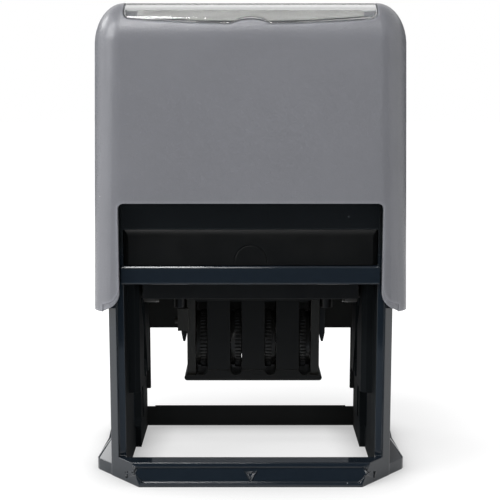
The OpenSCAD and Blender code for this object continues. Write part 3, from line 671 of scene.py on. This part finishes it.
def cushionFoam(name, look):
    material, tree, shader, where = startMaterial(name, {"Specular IOR Level": look["specular"]})
    pores = remap(tree, cellsOf(tree, where, look["poreSize"])["Distance"], 0.0, 1.0, *look["poreCut"])
    body = mixColours(tree, pores, look["pore"], look["colour"])
    roughness = remap(tree, noiseOf(tree, where, look["smudgeSize"]), *look["rough"])
    linkFinish(tree, shader, body, roughness, bumped(tree, pores, look["poreDepth"]))
    return material


bridgeLow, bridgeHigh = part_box("band_bridge")
dieWindow = ((bridgeHigh.x - bridgeLow.x) / 2 + foamLook["bridgeGap"], foamLook["windowHalfY"])
foam = cushionFoam("cushionFoam", foamLook)
padOf("die_cushion", "die_foam", foam, "print_unit", foamLook,
      dieWindow, (bridgeLow.x + bridgeHigh.x) / 2)
print("pads made")

# Return springs: one wire, straight ends, wound between them
springLook = {
    "wire": 0.5 * mm, "rise": math.radians(12.5), "bend": 2.0 * mm, "bendSteps": 8,
    "sides": 10, "ringStep": 0.6 * mm, "topGap": 0.02 * mm,
}


# the wire's way unrolled on its cylinder: how far on, how far up, and its slope
def springPath(height, look):
    rise = look["rise"]
    upright = math.pi / 2
    leg = 2 * look["wire"]
    bend = look["bend"]
    bendUp = bend * math.cos(rise)
    bendOn = bend * (1 - math.sin(rise))
    runUp = height - 2 * leg - 2 * bendUp
    runOn = runUp / math.tan(rise)
    endOn = 2 * bendOn + runOn
    swings = [(upright - rise) * step / look["bendSteps"] for step in range(look["bendSteps"] + 1)]
    path = [(0.0, 0.0, upright), (0.0, leg, upright)]
    for swing in swings[1:]:
        path.append((bend * (1 - math.cos(swing)), leg + bend * math.sin(swing), upright - swing))
    rings = int(runOn / look["ringStep"])
    for step in range(1, rings):
        path.append((bendOn + runOn * step / rings, leg + bendUp + runUp * step / rings, rise))
    for swing in reversed(swings):
        on = endOn - bend * (1 - math.cos(swing))
        path.append((on, height - leg - bend * math.sin(swing), upright - swing))
    path.append((endOn, height, upright))
    return path


def springMesh(name, low, high, look):
    radius = (high.x - low.x) / 2 - look["wire"]
    centre = (low + high) / 2
    rows = []
    for on, up, slope in springPath(high.z - low.z, look):
        angle = on / radius
        outward = Vector((math.cos(angle), math.sin(angle), 0.0))
        lean = math.sin(slope)
        lifted = Vector((math.sin(angle) * lean, -math.cos(angle) * lean, math.cos(slope)))
        middle = Vector((centre.x, centre.y, low.z + up)) + radius * outward
        row = []
        for side in range(look["sides"]):
            around = 2 * math.pi * side / look["sides"]
            row.append(middle + look["wire"] * (math.cos(around) * outward + math.sin(around) * lifted))
        rows.append(row)
    return skinMesh(name, rows)


for side in ("left", "right"):
    node = "return_spring_" + side
    low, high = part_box(node)
    high = high - Vector((0.0, 0.0, springLook["topGap"]))
    coil = springMesh("woundSpring", low, high, springLook)
    spring = meshPiece("wound_spring_" + side, coil, springSteel, "frame")
    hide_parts(node)
    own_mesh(spring)
print("springs wound")


# what the camera sees, and what it, a reflection or clear plastic sees
def seenRays(tree):
    rays = addNode(tree, "ShaderNodeLightPath").outputs
    camera = rays["Is Camera Ray"]
    through = maths(tree, "MAXIMUM", rays["Is Glossy Ray"], rays["Is Transmission Ray"])
    return camera, maths(tree, "MAXIMUM", camera, through)


# Floor: pale, fading into the white world, and a little darker close to the stamp: painted shade from its
# glow dimmed there, and a painted contact shadow where ambient occlusion finds the stamp near
floorLook = {
    "radius": 3.0, "sides": 96, "colour": paint(240, 240, 240), "lit": 0.32,
    "glow": (0.7, 1.0), "paintedShadeSpan": (0.03, 0.115),
    "paintedShadowReach": 10 * mm, "near": 0.6, "clear": (0.5, 1.0),
}


def paleFloor(look):
    material = bpy.data.materials.new("paleFloor")
    tree = bareTree(material)
    seen = seenRays(tree)[1]
    plain = addNode(tree, "ShaderNodeBsdfDiffuse", {"Color": look["colour"]}).outputs[0]
    part = addNode(tree, "ShaderNodeBsdfDiffuse", {"Color": shaded(look["colour"], look["lit"])}).outputs[0]
    where = addNode(tree, "ShaderNodeTexCoord").outputs["Object"]
    away = vectorMaths(tree, "LENGTH", {0: where})["Value"]
    # painted shadow: the floor's glow is dimmed near the stamp and where the stamp is close above it
    paintedShadowReach = {"Distance": look["paintedShadowReach"]}
    paintedShadowOpenness = addNode(tree, "ShaderNodeAmbientOcclusion", paintedShadowReach, samples=8).outputs["AO"]
    paintedShade = remap(tree, away, *look["glow"], *look["paintedShadeSpan"])
    level = maths(tree, "MULTIPLY", paintedShade, remap(tree, paintedShadowOpenness, look["near"], 1.0, *look["clear"]))
    glow = addNode(tree, "ShaderNodeEmission", {"Strength": level}).outputs[0]
    shown = addNode(tree, "ShaderNodeAddShader", {0: part, 1: glow}).outputs[0]
    mixed = addNode(tree, "ShaderNodeMixShader", {0: seen, 1: plain, 2: shown}).outputs[0]
    under = addNode(tree, "ShaderNodeNewGeometry").outputs["Backfacing"]
    clear = addNode(tree, "ShaderNodeBsdfTransparent").outputs[0]
    oneSided = addNode(tree, "ShaderNodeMixShader", {0: under, 1: mixed, 2: clear}).outputs[0]
    addNode(tree, "ShaderNodeOutputMaterial", {"Surface": oneSided})
    return material


def stagePiece(name, mesh, material):
    piece = bpy.data.objects.new(name, mesh)
    piece.data.materials.append(material)
    bpy.context.scene.collection.objects.link(piece)
    return piece


def discMesh(name, radius, sides):
    shape = bmesh.new()
    bmesh.ops.create_circle(shape, cap_ends=True, segments=sides, radius=radius)
    mesh = bpy.data.meshes.new(name)
    shape.to_mesh(mesh)
    shape.free()
    return mesh


stagePiece("floor", discMesh("floor", floorLook["radius"], floorLook["sides"]), paleFloor(floorLook))

# World: white behind the stamp, dim plain light round it; reflections see it darker overhead
worldLook = {
    "light": (0.97, 0.98, 1.0, 1.0), "strength": 0.17,
    "white": (1.0, 1.0, 1.0, 1.0), "above": 0.38, "high": (0.5, 0.85),
}


def paleWorld(look):
    world = bpy.data.worlds.new("paleWorld")
    tree = bareTree(world)
    camera, seen = seenRays(tree)
    glow = {"Color": look["light"], "Strength": look["strength"]}
    light = addNode(tree, "ShaderNodeBackground", glow).outputs[0]
    height = axesOf(tree, addNode(tree, "ShaderNodeTexCoord").outputs["Generated"])["Z"]
    level = maths(tree, "MAXIMUM", camera, remap(tree, height, 1.0, look["above"], *look["high"]))
    white = addNode(tree, "ShaderNodeBackground", {"Color": look["white"], "Strength": level}).outputs[0]
    mixed = addNode(tree, "ShaderNodeMixShader", {0: seen, 1: light, 2: white}).outputs[0]
    addNode(tree, "ShaderNodeOutputWorld", {"Surface": mixed})
    bpy.context.scene.world = world


paleWorld(worldLook)

# Cloths that only reflections see: dark round the front, blue at the stamp's feet, grey along the back
clothLook = {"strips": 24, "lift": 0.5 * mm, "weave": 4 * mm, "weaveTint": 0.9}
flagLook = {
    "front": {"span": (0.18, 0.9), "height": 0.75, "sweep": (-140, -40), "colour": paint(48, 52, 58)},
    "low": {"span": (0.056, 0.18), "height": 1 * mm, "sweep": (-145, -35), "colour": paint(168, 178, 190)},
    "back": {"span": (0.6, 0.9), "height": 0.4, "sweep": (30, 150), "colour": paint(150, 152, 155)},
}


def flagMesh(name, look):
    points = []
    strips = clothLook["strips"]
    near, far = look["span"]
    begin, end = look["sweep"]
    corners = ((near, clothLook["lift"]), (far, clothLook["lift"]), (far, look["height"]))
    for step in range(strips + 1):
        angle = math.radians(begin + (end - begin) * step / strips)
        points += [(away * math.cos(angle), away * math.sin(angle), up) for away, up in corners]
    firsts = [3 * step + row for step in range(strips) for row in (0, 1)]
    mesh = bpy.data.meshes.new(name)
    mesh.from_pydata(points, [], [(first, first + 1, first + 4, first + 3) for first in firsts])
    return mesh


def clothFlag(name, look):
    dull = {"Specular IOR Level": 0.0, "Roughness": 1.0}
    material, tree, shader, where = startMaterial(name + "Cloth", dull)
    weave = noiseOf(tree, where, clothLook["weave"], detail=3.0)
    colour = mixColours(tree, weave, shaded(look["colour"], clothLook["weaveTint"]), look["colour"])
    tree.links.new(colour, shader.inputs["Base Color"])
    flag = stagePiece(name + "Flag", flagMesh(name + "Flag", look), material)
    flag.visible_camera = False
    flag.visible_shadow = False
    flag.visible_diffuse = False
    flag.visible_transmission = False


for name, look in flagLook.items():
    clothFlag(name, look)

# Lamps: places in metres, aimed at the middle of the stamp; one without shine is left out of reflections
lampLook = {
    "key": {"at": (-0.8, -0.38, 0.65), "size": (0.5, 0.7), "power": 6.5, "shine": True},
    "overhead": {"at": (-0.13, -0.17, 1.0), "size": (0.145, 0.1), "power": 1.2, "shine": True},
    "upper": {"at": (-0.16, -0.54, 0.92), "size": (0.36, 0.18), "power": 3.3, "shine": True},
    "rim": {"at": (-0.72, 0.39, 0.55), "size": (0.28, 0.28), "power": 1.4, "shine": True},
    "front": {"at": (0.05, -1.05, 0.28), "size": (0.7, 0.4), "power": 2.7, "shine": False},
}
aim = Vector((0.0, 0.0, 0.065))


def softLamp(name, look):
    light = bpy.data.lights.new(name, "AREA")
    light.shape = "RECTANGLE"
    light.size, light.size_y = look["size"]
    light.energy = look["power"]
    lamp = bpy.data.objects.new(name, light)
    lamp.location = look["at"]
    lamp.visible_glossy = look["shine"]
    lamp.rotation_euler = (aim - lamp.location).to_track_quat("-Z", "Y").to_euler()
    bpy.context.scene.collection.objects.link(lamp)


for name, look in lampLook.items():
    softLamp(name, look)
print("stage lit")

# Camera: where the picture was taken from, with its tilt and turn in degrees
cameraLook = {
    "at": (-0.00053, -0.3072, 0.105), "down": 8.55, "aside": 0.074,
    "lens": 78.26, "sensor": 36.0, "nearest": 10 * mm,
}


def pictureCamera(look):
    data = bpy.data.cameras.new("pictureCamera")
    data.sensor_width = look["sensor"]
    data.lens = look["lens"]
    data.clip_start = look["nearest"]
    camera = bpy.data.objects.new("pictureCamera", data)
    camera.location = look["at"]
    camera.rotation_euler = (math.radians(90 - look["down"]), 0.0, -math.radians(look["aside"]))
    bpy.context.scene.collection.objects.link(camera)
    bpy.context.scene.camera = camera


pictureCamera(cameraLook)
bpy.context.scene.view_settings.view_transform = "Standard"
print("camera set")
